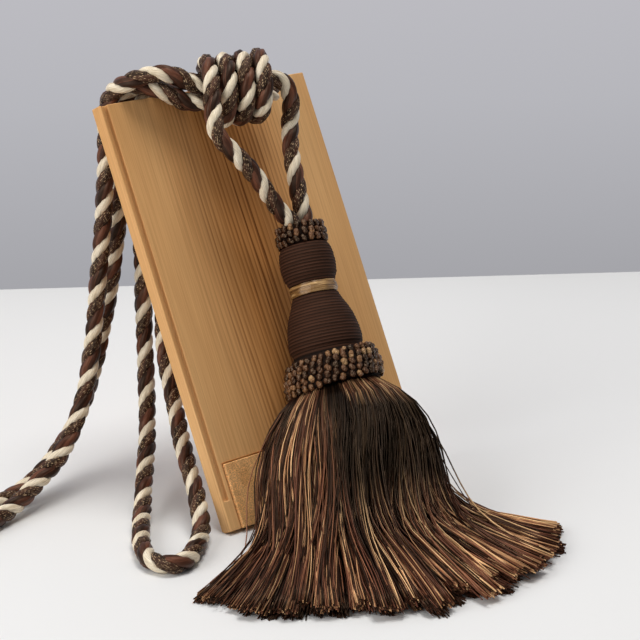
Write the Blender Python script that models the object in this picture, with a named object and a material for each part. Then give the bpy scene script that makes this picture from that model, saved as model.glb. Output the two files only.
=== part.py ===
"""Curtain tieback: a tassel on one twisted rope, hung over the top edge of a leaning wooden board.

The rope is one piece. It leaves the tassel's head, runs through a wound knot, makes two long loops
behind the board, is wound three times round its own core and comes back to the head.
Metres, +Z up, the board's front faces -Y.
"""
import math

import bmesh
import bpy
from mathutils import Matrix, Vector
from mathutils.geometry import delaunay_2d_cdt

GAP = 0.0003

# Board: width along X, height along its own slope, thickness into it.
BOARD_WIDTH = 0.150
BOARD_HEIGHT = 0.240
BOARD_THICK = 0.008
BOARD_LEAN = math.radians(25.7)
FRONT_EDGE_RISE = 0.0025
GROOVE_INSET = 0.0014
GROOVE_WIDTH = 0.0038
GROOVE_DEPTH = 0.0025
GROOVE_END = 0.0165
BLOCK_LEFT = 0.0080
BLOCK_HEIGHT = 0.0358
BLOCK_SUNK = 0.0040
BLOCK_PROUD = 0.0015
EDGE_ROUND = 0.0005

# Prop behind the board.
PROP_LEFT = 0.086
PROP_WIDTH = 0.032
PROP_THICK = 0.008
PROP_JOINS_AT = 0.135
PROP_SPLAY = math.radians(15.0)

# Tassel head: its own axis runs up from the middle of the lower ruff.
HEAD_FOOT = Vector((0.0774, 0.0027, 0.0739))
HEAD_UP = Vector((0.128, 0.457, 0.880)).normalized()
HEAD_SEGMENTS = 36
# Outline of the wound head: height above the head's foot, radius.
HEAD_PROFILE = [
    (-0.0060, 0.0192),
    (0.0130, 0.0194),
    (0.0145, 0.0203),
    (0.0190, 0.0206),
    (0.0245, 0.0200),
    (0.0300, 0.0187),
    (0.0350, 0.0168),
    (0.0395, 0.0147),
    (0.0436, 0.0130),
    (0.0440, 0.0121),
    (0.0508, 0.0121),
    (0.0512, 0.0131),
    (0.0550, 0.0147),
    (0.0608, 0.0155),
    (0.0662, 0.0153),
    (0.0704, 0.0143),
    (0.0724, 0.0131),
    (0.0726, 0.0106),
    (0.0800, 0.0106),
]
HEAD_TOP = HEAD_PROFILE[-1][0]
# Satin band in the neck: height, radius.
BAND_PROFILE = [(0.0444, 0.0130), (0.0458, 0.0134), (0.0490, 0.0134), (0.0504, 0.0130)]
BAND_INNER = 0.0121 + GAP
# Ruffs of knots: lowest and highest point, radius at each, swell between, hole, rows and columns of knots.
LOWER_RUFF = dict(low=-0.0065, high=0.0112, foot=0.0268, top=0.0236, swell=0.0014, hole=0.0194 + GAP,
                  rows=5, columns=36)
UPPER_RUFF = dict(low=0.0730, high=0.0846, foot=0.0128, top=0.0122, swell=0.0008, hole=0.0115,
                  rows=3, columns=20)
KNOT_BORDER = 0.00075
KNOT_RAISE = 0.0013
RUFF_SLANT = 0.22

# Skirt: locks from a round backing, which land on the table and lie there in a fan.
BACKING_TOP = -0.0069
BACKING_FOOT = -0.0090
BACKING_RADIUS = 0.0240
BACKING_SIDES = 48
FAN_CENTRE = Vector((0.050, -0.020, 0.0))
FAN_RADIUS = 0.132
LOCK_STEPS = 6
LOCK_LANDS = 5 / 6
LOCK_THICK = 0.0017
LOCK_FILL = 0.80
LOCK_DROP = 0.032
LOCK_BEND = 0.034
LOCK_LIE = 0.052
# Layers of the skirt: first and last place round the backing, its radius, how far the locks flare,
# the fan's first and last direction, the height and reach of the tips, and how many locks.
SKIRT_LAYERS = [
    dict(first=-104, last=88, radius=0.0222, flare=0.040, fan_from=195, fan_to=311, rest=0.0105,
         reach=1.000, locks=38),
    dict(first=-96, last=84, radius=0.0165, flare=0.034, fan_from=196, fan_to=310, rest=0.0070,
         reach=0.985, locks=28),
    dict(first=222, last=104, radius=0.0165, flare=0.000, fan_from=206, fan_to=307, rest=0.0035,
         reach=0.970, locks=18),
    dict(first=220, last=106, radius=0.0222, flare=-0.003, fan_from=209, fan_to=305, rest=0.0,
         reach=0.975, locks=24),
]

# Rope of three strands.
ROPE_RADIUS = 0.0049
ROPE_VALLEY = 0.70
STRANDS = 3
LAY_LENGTH = 0.0245
STEPS_PER_LAY = 7
ROPE_REST = ROPE_RADIUS + 0.0004
LEG_SPREAD = 0.0052
LEG_CLEAR = 0.0007

# Wound knot: its middle, the direction of its axis, the runs in its core and the turns on them.
KNOT_MIDDLE = Vector((0.0780, 0.0742, 0.2227))
KNOT_TURN = math.radians(-26.4)
KNOT_RISE = math.radians(4.0)
CORE_OFFSET = 0.0048
CORE_GIRTH = 0.90
BIGHT_GIRTH = 0.84
WRAP_RADIUS = 0.0163
WRAP_PITCH = 0.0099
WRAP_GIRTH = 0.96
WRAP_FIRST_PASS = 0.0170
WRAP_START = 405
WRAP_END = 1455
WRAP_STEP = 30

# Free runs of the rope: x, y, z.
RIGHT_LEG = [
    (0.0934, 0.0459, 0.1613),
    (0.0941, 0.0507, 0.1747),
    (0.0959, 0.0559, 0.1878),
    (0.1003, 0.0615, 0.2006),
]
SIDE_LOOP_OVER_EDGE = [
    (0.0460, 0.0842, 0.2284),
    (0.0396, 0.0865, 0.2322),
    (0.0316, 0.0904, 0.2342),
    (0.0238, 0.0966, 0.2325),
    (0.0186, 0.1045, 0.2282),
    (0.0172, 0.1132, 0.2232),
    (0.0166, 0.1190, 0.2125),
]
SIDE_LOOP = [
    (0.0155, 0.1195, 0.1900),
    (0.0131, 0.1197, 0.1571),
    (0.0082, 0.1206, 0.1161),
    (0.0028, 0.1200, 0.0822),
    (-0.0071, 0.1168, 0.0523),
    (-0.0300, 0.1085, 0.0265),
    (-0.0500, 0.1040, 0.0155),
    (-0.0710, 0.0990, 0.0075),
    (-0.0930, 0.0930, ROPE_REST),
    (-0.1170, 0.0880, ROPE_REST),
    (-0.1360, 0.0940, ROPE_REST),
    (-0.1400, 0.1090, ROPE_REST),
    (-0.1260, 0.1180, ROPE_REST),
    (-0.1050, 0.1160, ROPE_REST),
    (-0.0780, 0.1120, ROPE_REST),
    (-0.0420, 0.1160, 0.0130),
    (-0.0079, 0.1245, 0.0349),
    (0.0096, 0.1290, 0.0624),
    (0.0181, 0.1300, 0.0859),
    (0.0246, 0.1280, 0.1190),
    (0.0270, 0.1245, 0.1500),
    (0.0279, 0.1215, 0.1850),
]
SIDE_LOOP_BACK_OVER_EDGE = [
    (0.0280, 0.1190, 0.2125),
    (0.0282, 0.1132, 0.2222),
    (0.0288, 0.1070, 0.2256),
    (0.0302, 0.1010, 0.2260),
    (0.0338, 0.0950, 0.2245),
    (0.0395, 0.0896, 0.2215),
    (0.0460, 0.0852, 0.2175),
]
FRONT_LOOP_OVER_EDGE = [
    (0.0512, 0.0937, 0.2158),
    (0.0456, 0.0976, 0.2190),
    (0.0412, 0.1020, 0.2234),
    (0.0398, 0.1080, 0.2248),
    (0.0392, 0.1132, 0.2222),
    (0.0388, 0.1190, 0.2125),
]
FRONT_LOOP = [
    (0.0382, 0.1195, 0.1700),
    (0.0368, 0.1165, 0.1200),
    (0.0333, 0.1116, 0.0779),
    (0.0243, 0.0995, 0.0493),
    (0.0100, 0.0825, 0.0290),
    (-0.0071, 0.0645, 0.0155),
    (-0.0210, 0.0490, 0.0075),
    (-0.0379, 0.0295, ROPE_REST),
    (-0.0529, 0.0093, ROPE_REST),
    (-0.0600, -0.0080, ROPE_REST),
    (-0.0562, -0.0175, ROPE_REST),
    (-0.0462, -0.0178, ROPE_REST),
    (-0.0326, -0.0090, ROPE_REST),
    (-0.0174, 0.0040, 0.0072),
    (-0.0050, 0.0225, 0.0190),
    (0.0060, 0.0450, 0.0342),
    (0.0230, 0.0746, 0.0557),
    (0.0345, 0.0960, 0.0807),
    (0.0472, 0.1085, 0.1200),
    (0.0500, 0.1180, 0.1700),
]
FRONT_LOOP_BACK_OVER_EDGE = [
    (0.0505, 0.1192, 0.2125),
    (0.0505, 0.1130, 0.2224),
    (0.0509, 0.1062, 0.2257),
    (0.0522, 0.0988, 0.2272),
    (0.0545, 0.0935, 0.2270),
]
LEFT_LEG = [
    (0.0425, 0.0560, 0.2040),
    (0.0511, 0.0511, 0.1925),
    (0.0624, 0.0480, 0.1795),
    (0.0710, 0.0457, 0.1665),
    (0.0772, 0.0433, 0.1573),
    (0.0825, 0.0412, 0.1510),
]
# Turns of the rope in the knot's own frame: along the axis, outwards from the board, up. The bight
# joins the two loops inside the knot, and the crossing takes the last run to the core's low back corner.
RIGHT_LEG_TURN = [(0.0250, 0.0030, -0.0140), (0.0240, 0.0044, -0.0045), (0.0205, 0.0050, 0.0020)]
CORE_BIGHT = [(-0.0107, 0.0037, -0.0050), (-0.0091, 0.0000, -0.0051), (-0.0107, -0.0037, -0.0050)]
CORE_CROSSING = (0.0000, -0.0056, 0.0000)
FIRST_TURN = [
    (0.0138, -0.0056, -0.0070),
    (0.0176, -0.0088, -0.0076),
    (0.0184, -0.0144, -0.0048),
    (0.0152, -0.0166, 0.0024),
    (0.0112, -0.0120, 0.0112),
    (0.0098, -0.0032, 0.0161),
    (0.0090, 0.0056, 0.0153),
]
LEFT_LEG_TURN = [(-0.0215, 0.0125, 0.0108), (-0.0232, 0.0192, 0.0032), (-0.0248, 0.0252, -0.0058)]
CORE_RIGHT = 0.0130
CORE_LEFT = 0.0245
BIGHT_FROM = 0.0140
CROSSING_FROM = 0.0100
FIRST_TURN_FROM = 0.0090


# ---------------------------------------------------------------- helpers

def clear_scene():
    for thing in list(bpy.data.objects):
        bpy.data.objects.remove(thing, do_unlink=True)


def material(name, colour, roughness, sheen=0.0):
    made = bpy.data.materials.new(name)
    made.use_nodes = True
    shader = made.node_tree.nodes["Principled BSDF"]
    shader.inputs["Base Color"].default_value = (*colour, 1.0)
    shader.inputs["Roughness"].default_value = roughness
    shader.inputs["Metallic"].default_value = 0.0
    shader.inputs["Sheen Weight"].default_value = sheen
    made.diffuse_color = (*colour, 1.0)
    return made


def add_object(name, mesh_builder, finish, parent=None, smooth_below=None):
    """Object from a bmesh, with its faces turned outwards."""
    bmesh.ops.recalc_face_normals(mesh_builder, faces=mesh_builder.faces)
    mesh = bpy.data.meshes.new(name)
    mesh_builder.to_mesh(mesh)
    mesh_builder.free()
    mesh.materials.append(finish)
    if smooth_below is not None:
        mesh.shade_smooth()
        mesh.set_sharp_from_angle(angle=math.radians(smooth_below))
    thing = bpy.data.objects.new(name, mesh)
    bpy.context.collection.objects.link(thing)
    thing.parent = parent
    return thing


def prism(outline, start, width):
    """Closed prism: an outline of (depth, height) points, drawn out along X."""
    shape = bmesh.new()
    face = shape.faces.new([shape.verts.new((start, y, z)) for y, z in outline])
    drawn = bmesh.ops.extrude_face_region(shape, geom=[face])
    moved = [item for item in drawn["geom"] if isinstance(item, bmesh.types.BMVert)]
    bmesh.ops.translate(shape, verts=moved, vec=(width, 0, 0))
    return shape


def cutter(name, outline, start, width, target):
    """Hidden prism that a Boolean takes away from the target."""
    tool = add_object(name, prism(outline, start, width), target.data.materials[0], target.parent)
    tool.hide_render = True
    tool.display_type = "WIRE"
    tool.matrix_local = target.matrix_local
    cut = target.modifiers.new(name, "BOOLEAN")
    cut.operation = "DIFFERENCE"
    cut.object = tool
    return tool


def round_edges(thing):
    soft = thing.modifiers.new("edges", "BEVEL")
    soft.width = EDGE_ROUND
    soft.segments = 1
    soft.limit_method = "ANGLE"
    soft.angle_limit = math.radians(40)


def rings_to_mesh(shape, rings):
    """Joins equal rings of points by quads and closes both ends with one face each."""
    rows = [[shape.verts.new(point) for point in ring] for ring in rings]
    count = len(rows[0])
    for lower, upper in zip(rows, rows[1:]):
        for i in range(count):
            j = (i + 1) % count
            shape.faces.new((lower[i], lower[j], upper[j], upper[i]))
    shape.faces.new(list(reversed(rows[0])))
    shape.faces.new(rows[-1])
    return rows


def circle(radius, height, count, phase=0.0):
    turn = 2 * math.pi / count
    return [
        Vector((radius * math.cos(turn * i + phase), radius * math.sin(turn * i + phase), height))
        for i in range(count)
    ]


def catmull_rom(points, step):
    """Smooth curve through the points (centripetal), read at even steps of its length."""
    ends = [points[0] * 2 - points[1], *points, points[-1] * 2 - points[-2]]
    dense = []
    for a, b, c, d in zip(ends, ends[1:], ends[2:], ends[3:]):
        knots = [0.0]
        for p, q in ((a, b), (b, c), (c, d)):
            knots.append(knots[-1] + max((q.xyz - p.xyz).length, 1e-6) ** 0.5)
        pieces = 12
        for i in range(pieces):
            t = knots[1] + (knots[2] - knots[1]) * i / pieces
            ab = a.lerp(b, t / knots[1])
            bc = b.lerp(c, (t - knots[1]) / (knots[2] - knots[1]))
            cd = c.lerp(d, (t - knots[2]) / (knots[3] - knots[2]))
            abc = ab.lerp(bc, t / knots[2])
            bcd = bc.lerp(cd, (t - knots[1]) / (knots[3] - knots[1]))
            dense.append(abc.lerp(bcd, (t - knots[1]) / (knots[2] - knots[1])))
    dense.append(points[-1].copy())
    lengths = [0.0]
    for p, q in zip(dense, dense[1:]):
        lengths.append(lengths[-1] + (q.xyz - p.xyz).length)
    count = round(lengths[-1] / step)
    even = []
    k = 0
    for i in range(count + 1):
        goal = lengths[-1] * i / count
        while k < len(lengths) - 2 and lengths[k + 1] < goal:
            k += 1
        even.append(dense[k].lerp(dense[k + 1], (goal - lengths[k]) / (lengths[k + 1] - lengths[k])))
    return even


# ---------------------------------------------------------------- board

def board_frame():
    """Empty at the middle of the board's own frame: X along its foot, Z up its front face."""
    frame = bpy.data.objects.new("board_frame", None)
    bpy.context.collection.objects.link(frame)
    frame.location = (0, 0, FRONT_EDGE_RISE)
    frame.rotation_euler = (-BOARD_LEAN, 0, 0)
    return frame


def foot_outline():
    """Side view of the board: square ends, and the low back corner cut level with the table."""
    level_from = FRONT_EDGE_RISE / math.sin(BOARD_LEAN)
    level_to = (BOARD_THICK * math.sin(BOARD_LEAN) - FRONT_EDGE_RISE) / math.cos(BOARD_LEAN)
    return [
        (0, 0),
        (0, BOARD_HEIGHT),
        (BOARD_THICK, BOARD_HEIGHT),
        (BOARD_THICK, level_to),
        (level_from, 0),
    ]


def board(frame, finish):
    thing = add_object("board", prism(foot_outline(), 0, BOARD_WIDTH), finish, frame)
    pocket = [
        (-0.002, -0.002),
        (-0.002, BLOCK_HEIGHT + GAP),
        (BLOCK_SUNK, BLOCK_HEIGHT + GAP),
        (BLOCK_SUNK, -0.002),
    ]
    groove = [
        (-0.002, GROOVE_END),
        (-0.002, BOARD_HEIGHT + 0.002),
        (GROOVE_DEPTH, BOARD_HEIGHT + 0.002),
        (GROOVE_DEPTH, GROOVE_END),
    ]
    cutter("block_pocket", pocket, BLOCK_LEFT - GAP, BOARD_WIDTH, thing)
    cutter("edge_groove", groove, GROOVE_INSET, GROOVE_WIDTH, thing)
    round_edges(thing)
    return thing


def foot_block(frame, finish):
    outline = [
        (-BLOCK_PROUD, 0),
        (-BLOCK_PROUD, BLOCK_HEIGHT),
        (BLOCK_SUNK - GAP, BLOCK_HEIGHT),
        (BLOCK_SUNK - GAP, 0),
    ]
    thing = add_object("foot_block", prism(outline, BLOCK_LEFT, BOARD_WIDTH - BLOCK_LEFT), finish, frame)
    round_edges(thing)
    return thing


def back_prop(finish):
    """Straight strut from the board's back to the table, its ends cut to lie flat on both."""
    slope_up = Vector((0, math.sin(BOARD_LEAN), math.cos(BOARD_LEAN)))
    into_board = Vector((0, math.cos(BOARD_LEAN), -math.sin(BOARD_LEAN)))
    down = Vector((0, math.sin(PROP_SPLAY), -math.cos(PROP_SPLAY)))
    foot = Vector((0, 0, FRONT_EDGE_RISE))
    front = foot + into_board * (BOARD_THICK + GAP) + slope_up * PROP_JOINS_AT
    back = front + slope_up * (PROP_THICK / math.sin(BOARD_LEAN + PROP_SPLAY))
    outline = [(point.y, point.z) for point in (front, back)]
    outline += [(point.y + down.y * point.z / -down.z, 0.0) for point in (back, front)]
    thing = add_object("back_prop", prism(outline, PROP_LEFT, PROP_WIDTH), finish)
    round_edges(thing)
    return thing


# ---------------------------------------------------------------- tassel head

def head_side():
    """Unit vector to the right of the head's axis, parallel to the board."""
    across = Vector((1, 0, 0))
    return (across - HEAD_UP * across.dot(HEAD_UP)).normalized()


def head_frame():
    """Empty on the head's axis: Z up the axis, X to the right."""
    side = head_side()
    inward = HEAD_UP.cross(side)
    frame = bpy.data.objects.new("head_frame", None)
    bpy.context.collection.objects.link(frame)
    turn = Matrix((side, inward, HEAD_UP)).transposed().to_4x4()
    frame.matrix_world = Matrix.Translation(HEAD_FOOT) @ turn
    return frame


def wound_head(frame, finish):
    shape = bmesh.new()
    rings_to_mesh(shape, [circle(radius, height, HEAD_SEGMENTS) for height, radius in HEAD_PROFILE])
    return add_object("wound_head", shape, finish, frame, smooth_below=50)


def closed_band(shape, rows, hole):
    """Closes rows of an outer wall into a ring with a plain round hole."""
    count = len(rows[0])
    inner = []
    for row in (rows[0], rows[-1]):
        inner.append([shape.verts.new(self_at(vert.co, hole)) for vert in row])
    for i in range(count):
        j = (i + 1) % count
        shape.faces.new((rows[0][i], rows[0][j], inner[0][j], inner[0][i]))
        shape.faces.new((rows[-1][i], rows[-1][j], inner[1][j], inner[1][i]))
        shape.faces.new((inner[0][i], inner[0][j], inner[1][j], inner[1][i]))


def self_at(point, radius):
    """The same place round the axis and along it, at another radius."""
    flat = Vector((point.x, point.y, 0)).normalized() * radius
    return Vector((flat.x, flat.y, point.z))


def outer_wall(shape, rings):
    rows = [[shape.verts.new(point) for point in ring] for ring in rings]
    count = len(rows[0])
    faces = []
    for lower, upper in zip(rows, rows[1:]):
        for i in range(count):
            j = (i + 1) % count
            faces.append(shape.faces.new((lower[i], lower[j], upper[j], upper[i])))
    return rows, faces


def neck_band(frame, finish):
    shape = bmesh.new()
    rows, _ = outer_wall(shape, [circle(radius, height, HEAD_SEGMENTS) for height, radius in BAND_PROFILE])
    closed_band(shape, rows, BAND_INNER)
    return add_object("neck_band", shape, finish, frame, smooth_below=50)


def knotted_ruff(name, ruff, frame, finish):
    """Band of raised knots in slanting columns."""
    shape = bmesh.new()
    rings = []
    for row in range(ruff["rows"] + 1):
        share = row / ruff["rows"]
        height = ruff["low"] + (ruff["high"] - ruff["low"]) * share
        radius = ruff["foot"] + (ruff["top"] - ruff["foot"]) * share
        radius += ruff["swell"] * math.sin(math.pi * share)
        slant = RUFF_SLANT * 2 * math.pi / ruff["columns"] * row
        rings.append(circle(radius, height, ruff["columns"], slant))
    rows, knots = outer_wall(shape, rings)
    closed_band(shape, rows, ruff["hole"])
    bmesh.ops.recalc_face_normals(shape, faces=shape.faces)
    bmesh.ops.inset_individual(shape, faces=knots, thickness=KNOT_BORDER, depth=KNOT_RAISE)
    return add_object(name, shape, finish, frame, smooth_below=25)


# ---------------------------------------------------------------- skirt

def around_head(angle):
    """Direction away from the head's axis: 0 faces away from the board, 90 degrees is to the right."""
    side = head_side()
    forward = side.cross(HEAD_UP)
    return forward * math.cos(angle) + side * math.sin(angle)


def lock_point(layer, place, share):
    """Middle of a lock: place 0 to 1 from the left of the fan to its right, share 0 to 1 to the tip."""
    angle = math.radians(layer["first"] + (layer["last"] - layer["first"]) * place)
    out = around_head(angle)
    root = HEAD_FOOT + HEAD_UP * BACKING_FOOT + out * layer["radius"]
    knee = root - HEAD_UP * LOCK_DROP + out * layer["flare"]
    fan = math.radians(layer["fan_from"] + (layer["fan_to"] - layer["fan_from"]) * place)
    along = Vector((math.cos(fan), math.sin(fan), 0))
    tip = FAN_CENTRE + along * FAN_RADIUS * layer["reach"]
    tip.z = layer["rest"] + LOCK_THICK * 0.4
    landing = tip - along * LOCK_LIE
    if share > LOCK_LANDS:
        return landing.lerp(tip, (share - LOCK_LANDS) / (1 - LOCK_LANDS))
    heel = landing - along * LOCK_BEND
    done = share / LOCK_LANDS
    left = 1 - done
    return (
        root * left**3
        + knee * (3 * left**2 * done)
        + heel * (3 * left * done**2)
        + landing * done**3
    )


def lock_sections(layer, number):
    """Three-sided sections of one lock, from its root in the backing to its tip."""
    count = layer["locks"]
    place = (number + 0.5) / count
    half = 0.5 / count * LOCK_FILL
    sections = []
    for step in range(LOCK_STEPS + 1):
        share = step / LOCK_STEPS
        middle = lock_point(layer, place, share)
        left = lock_point(layer, place - half, share)
        right = lock_point(layer, place + half, share)
        side = right - left
        if step == 0:
            over = side.cross(HEAD_UP).normalized()
        else:
            run = lock_point(layer, place, min(share + 0.01, 1)) - lock_point(layer, place, share - 0.01)
            over = run.cross(side).normalized()
        sink = over * LOCK_THICK * 0.4
        rise = over * LOCK_THICK * 0.6
        if step == LOCK_STEPS:
            side = side * 0.85
        sections.append((middle - side / 2 - sink, middle + side / 2 - sink, middle + rise))
    return sections


def skirt(finish):
    """One closed mesh: a round backing and every lock grown from its lower face."""
    shape = bmesh.new()
    side = head_side()
    forward = side.cross(HEAD_UP)
    centre = HEAD_FOOT + HEAD_UP * BACKING_FOOT
    locks = [lock_sections(layer, n) for layer in SKIRT_LAYERS for n in range(layer["locks"])]

    def flat(point):
        away = point - centre
        return Vector((away.dot(side), away.dot(forward)))

    rim = [Vector((p.x, p.y)) for p in circle(BACKING_RADIUS, 0, BACKING_SIDES)]
    points = list(rim)
    faces = [list(range(BACKING_SIDES))]
    for sections in locks:
        start = len(points)
        points += [flat(point) for point in sections[0]]
        faces.append([start, start + 1, start + 2])
    made, _, tiles, origin, _, sources = delaunay_2d_cdt(points, [], faces, 1, 1e-7, True)
    verts = [shape.verts.new(centre + side * p.x + forward * p.y) for p in made]
    at = {source: i for i, group in enumerate(origin) for source in group}
    for tile, source in zip(tiles, sources):
        if source == [0]:
            shape.faces.new([verts[i] for i in tile])
    upper = [
        shape.verts.new(verts[at[i]].co + HEAD_UP * (BACKING_TOP - BACKING_FOOT))
        for i in range(BACKING_SIDES)
    ]
    for i in range(BACKING_SIDES):
        j = (i + 1) % BACKING_SIDES
        shape.faces.new((verts[at[i]], verts[at[j]], upper[j], upper[i]))
    shape.faces.new(upper)
    for number, sections in enumerate(locks):
        ring = [verts[at[BACKING_SIDES + 3 * number + i]] for i in range(3)]
        for section in sections[1:]:
            upper_ring = [shape.verts.new(point) for point in section]
            for i in range(3):
                j = (i + 1) % 3
                shape.faces.new((ring[i], ring[j], upper_ring[j], upper_ring[i]))
            ring = upper_ring
        shape.faces.new(ring)
    return add_object("skirt", shape, finish)


# ---------------------------------------------------------------- rope

def knot_point(along, out, up):
    """Place in the knot's own frame."""
    axis = Vector((
        math.cos(KNOT_TURN) * math.cos(KNOT_RISE),
        math.sin(KNOT_TURN) * math.cos(KNOT_RISE),
        math.sin(KNOT_RISE),
    ))
    outward = Vector((math.sin(KNOT_TURN), -math.cos(KNOT_TURN), 0))
    upward = outward.cross(axis)
    return KNOT_MIDDLE + axis * along + outward * out + upward * up


def core_run(out_sign, up_sign, *stops):
    """Straight run in the knot's core, in one of its four corners."""
    return [knot_point(stop, out_sign * CORE_OFFSET, up_sign * CORE_OFFSET) for stop in stops]


def wraps():
    """Turns round the core: down the front, each one a pitch further to the left."""
    turns = []
    for degrees in range(WRAP_START, WRAP_END + 1, WRAP_STEP):
        angle = math.radians(degrees)
        along = WRAP_FIRST_PASS - WRAP_PITCH * (degrees - 90) / 360
        turns.append(knot_point(along, WRAP_RADIUS * math.sin(angle), WRAP_RADIUS * math.cos(angle)))
    return turns


def leg_foot(sign, height):
    return HEAD_FOOT + HEAD_UP * height + head_side() * sign * LEG_SPREAD


def rope_route():
    """Points of the whole rope, from the head by its right leg back to the head by its left one."""
    leg_start = HEAD_TOP + LEG_CLEAR
    runs = [
        (1.0, [leg_foot(1, leg_start), leg_foot(1, leg_start + 0.009)]),
        (1.0, RIGHT_LEG),
        (1.0, [knot_point(*row) for row in RIGHT_LEG_TURN]),
        (CORE_GIRTH, core_run(1, 1, CORE_RIGHT, 0.0, -CORE_LEFT)),
        (1.0, SIDE_LOOP_OVER_EDGE),
        (1.0, SIDE_LOOP),
        (1.0, SIDE_LOOP_BACK_OVER_EDGE),
        (CORE_GIRTH, core_run(1, -1, -CORE_LEFT, -BIGHT_FROM)),
        (BIGHT_GIRTH, [knot_point(*row) for row in CORE_BIGHT]),
        (CORE_GIRTH, core_run(-1, -1, -BIGHT_FROM, -CORE_LEFT)),
        (1.0, FRONT_LOOP_OVER_EDGE),
        (1.0, FRONT_LOOP),
        (1.0, FRONT_LOOP_BACK_OVER_EDGE),
        (CORE_GIRTH, core_run(-1, 1, -CORE_LEFT, -CROSSING_FROM)),
        (CORE_GIRTH, [knot_point(*CORE_CROSSING)]),
        (CORE_GIRTH, core_run(-1, -1, FIRST_TURN_FROM)),
        (WRAP_GIRTH, [knot_point(*row) for row in FIRST_TURN]),
        (WRAP_GIRTH, wraps()),
        (1.0, [knot_point(*row) for row in LEFT_LEG_TURN]),
        (1.0, LEFT_LEG),
        (1.0, [leg_foot(-1, leg_start)]),
    ]
    route = []
    for girth, points in runs:
        route += [Vector((*point, girth)) for point in points]
    return route


def rope_frames(path):
    """Tangent and a side vector that turns with the path and never spins about it; flat at the head."""
    frames = []
    side = None
    for i, point in enumerate(path):
        ahead = path[min(i + 1, len(path) - 1)].xyz
        behind = path[max(i - 1, 0)].xyz
        tangent = (ahead - behind).normalized()
        if i in (0, len(path) - 1):
            tangent = HEAD_UP if i == 0 else -HEAD_UP
        if side is None:
            side = tangent.orthogonal()
        side = (side - tangent * side.dot(tangent)).normalized()
        frames.append((point, tangent, side))
    return frames


def rope(finish):
    """Three strands laid up right-handed: a six-pointed section that turns along the route."""
    path = catmull_rom(rope_route(), LAY_LENGTH / STEPS_PER_LAY)
    rings = []
    corners = STRANDS * 2
    for step, (point, tangent, side) in enumerate(rope_frames(path)):
        other = tangent.cross(side)
        turn = 2 * math.pi * step / STEPS_PER_LAY
        ring = []
        for corner in range(corners):
            angle = turn + math.pi * corner / STRANDS
            radius = ROPE_RADIUS * point.w * (1.0 if corner % 2 == 0 else ROPE_VALLEY)
            ring.append(point.xyz + (side * math.cos(angle) + other * math.sin(angle)) * radius)
        rings.append(ring)
    shape = bmesh.new()
    rings_to_mesh(shape, rings)
    return add_object("rope", shape, finish, smooth_below=40)


# ---------------------------------------------------------------- placing

def stand_on_origin(carried):
    """Moves everything so that the middle of the carried pieces' box is over the origin."""
    bpy.context.view_layer.update()
    scene_graph = bpy.context.evaluated_depsgraph_get()
    corners = []
    for thing in carried:
        shape = thing.evaluated_get(scene_graph)
        corners += [shape.matrix_world @ vert.co for vert in shape.data.vertices]
    middle = Vector((
        (min(p.x for p in corners) + max(p.x for p in corners)) / 2,
        (min(p.y for p in corners) + max(p.y for p in corners)) / 2,
        0,
    ))
    for thing in bpy.data.objects:
        if thing.parent is None:
            thing.location -= middle


def build():
    clear_scene()
    pine = material("pine", (0.62, 0.36, 0.16), 0.5)
    end_grain = material("pine_end_grain", (0.52, 0.32, 0.17), 0.65)
    cord_brown = material("wound_cord_brown", (0.060, 0.028, 0.020), 0.75, 0.3)
    satin = material("satin_gold", (0.50, 0.32, 0.15), 0.35)
    knots = material("ruff_brown", (0.14, 0.070, 0.040), 0.6, 0.2)
    yarn = material("skirt_yarn", (0.13, 0.065, 0.040), 0.5, 0.2)
    rope_yarn = material("rope_yarn", (0.32, 0.22, 0.16), 0.55, 0.2)

    slope = board_frame()
    axis = head_frame()
    carried = [
        board(slope, pine),
        foot_block(slope, end_grain),
        back_prop(pine),
        wound_head(axis, cord_brown),
        neck_band(axis, satin),
        knotted_ruff("lower_ruff", LOWER_RUFF, axis, knots),
        knotted_ruff("upper_ruff", UPPER_RUFF, axis, knots),
        skirt(yarn),
    ]
    rope(rope_yarn)
    stand_on_origin(carried)


build()
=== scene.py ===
import math

import bpy
import numpy as np
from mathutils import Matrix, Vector


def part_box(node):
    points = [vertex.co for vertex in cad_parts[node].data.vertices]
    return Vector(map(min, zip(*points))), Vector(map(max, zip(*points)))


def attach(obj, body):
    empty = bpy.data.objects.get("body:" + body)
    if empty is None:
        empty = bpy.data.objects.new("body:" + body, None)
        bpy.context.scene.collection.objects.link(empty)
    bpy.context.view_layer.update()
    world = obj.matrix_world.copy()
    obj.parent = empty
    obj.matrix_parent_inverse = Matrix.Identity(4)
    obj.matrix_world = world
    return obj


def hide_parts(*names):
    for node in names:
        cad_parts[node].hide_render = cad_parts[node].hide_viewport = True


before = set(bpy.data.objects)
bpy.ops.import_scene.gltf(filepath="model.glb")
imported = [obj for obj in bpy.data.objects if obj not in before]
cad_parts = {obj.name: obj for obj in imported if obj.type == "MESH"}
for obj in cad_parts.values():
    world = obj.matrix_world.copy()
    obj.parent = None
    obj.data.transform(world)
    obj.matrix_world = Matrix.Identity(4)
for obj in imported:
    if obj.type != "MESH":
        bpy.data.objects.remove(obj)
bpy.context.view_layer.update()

rng = np.random.default_rng(7)

# The route's tables are in the board's own place: X along its foot, from its left front corner. The
# board's box starts at its rounded edge, which lies this far behind that corner.
ROUNDED_BACK = 0.000216
board_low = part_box("board")[0]
SHIFT = Vector((board_low[0], board_low[1] - ROUNDED_BACK, 0.0))

BOARD_LEAN = math.radians(25.7)
HEAD_FOOT = Vector((0.0774, 0.0027, 0.0739))
HEAD_UP = Vector((0.128, 0.457, 0.880)).normalized()
HEAD_TOP = 0.0800

# ---- camera

VIEW_TURN = math.radians(-43.4)
VIEW_DOWN = math.radians(16.5)
CAMERA_AT = Vector((-0.7177, -0.8280, 0.4449))
SENSOR_WIDTH = 36.0
LENS = 123.75


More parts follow.
